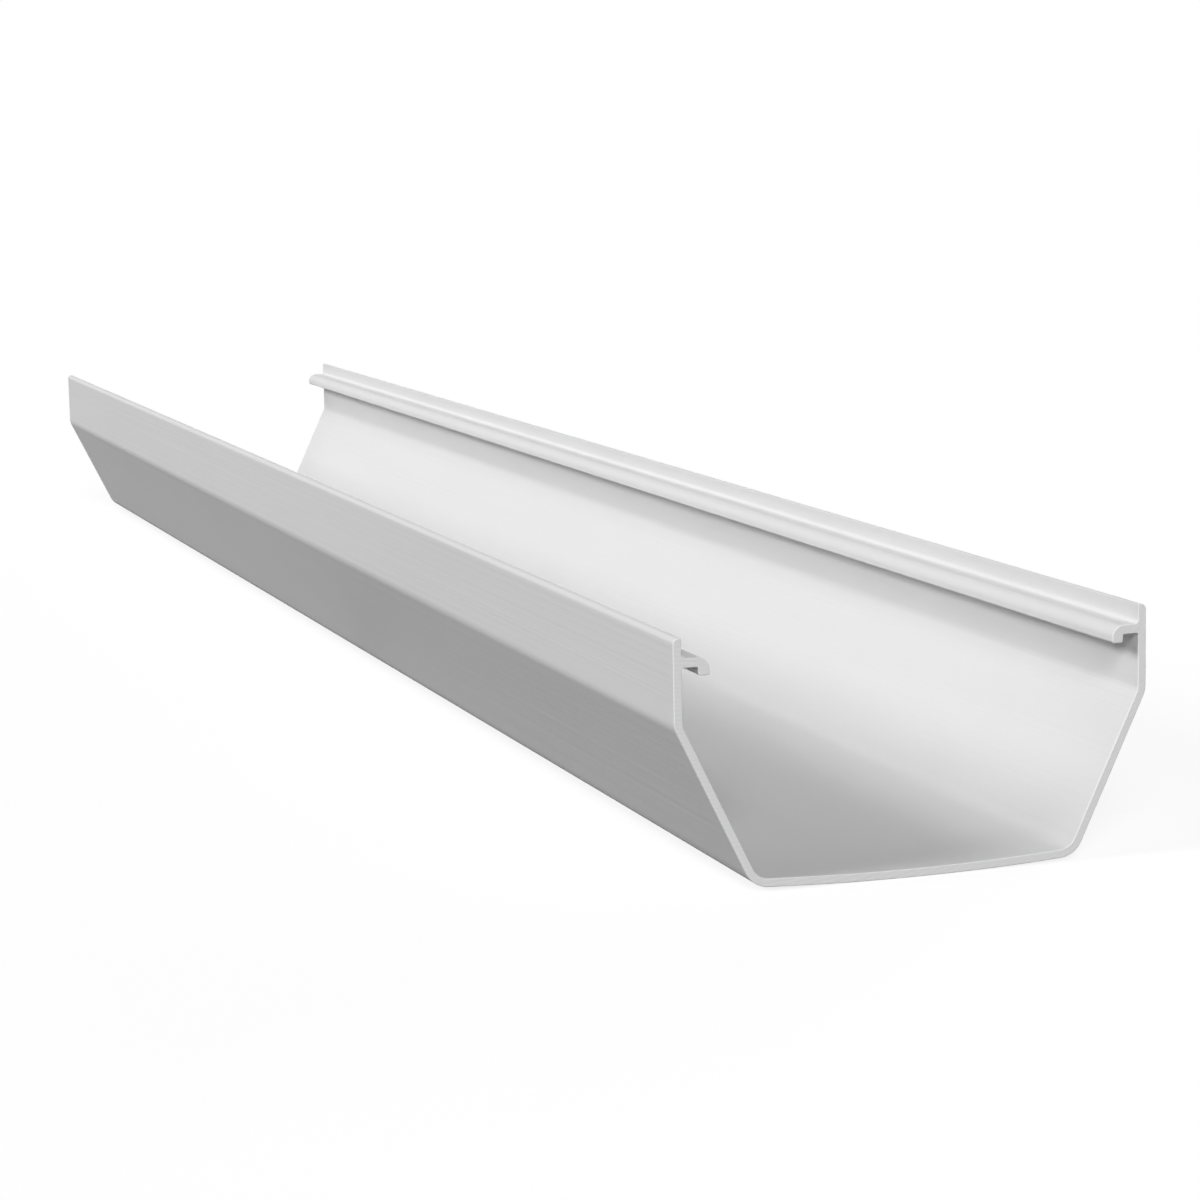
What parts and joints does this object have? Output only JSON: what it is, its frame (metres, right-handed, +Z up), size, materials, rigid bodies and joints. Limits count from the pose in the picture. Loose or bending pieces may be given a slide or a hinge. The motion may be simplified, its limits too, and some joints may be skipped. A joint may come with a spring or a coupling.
{
  "type": "rainwater gutter section",
  "caption": "Straight length of trapezoidal rainwater gutter with upright rims, hooked clip beads inside them and a slightly bowed floor; carries roof water to an outlet.",
  "frame": {"origin": "under the middle of the length, at the lowest line of the bowed floor", "axes": "+Y along the gutter's length, +X across it, +Z up out of the open top"},
  "size_m": [0.148, 1, 0.0755],
  "materials": {
    "pvc_white": "extruded PVC-U, satin"
  },
  "bodies": {
    "root": {"gutter": "pvc_white"}
  },
  "joints": []
}
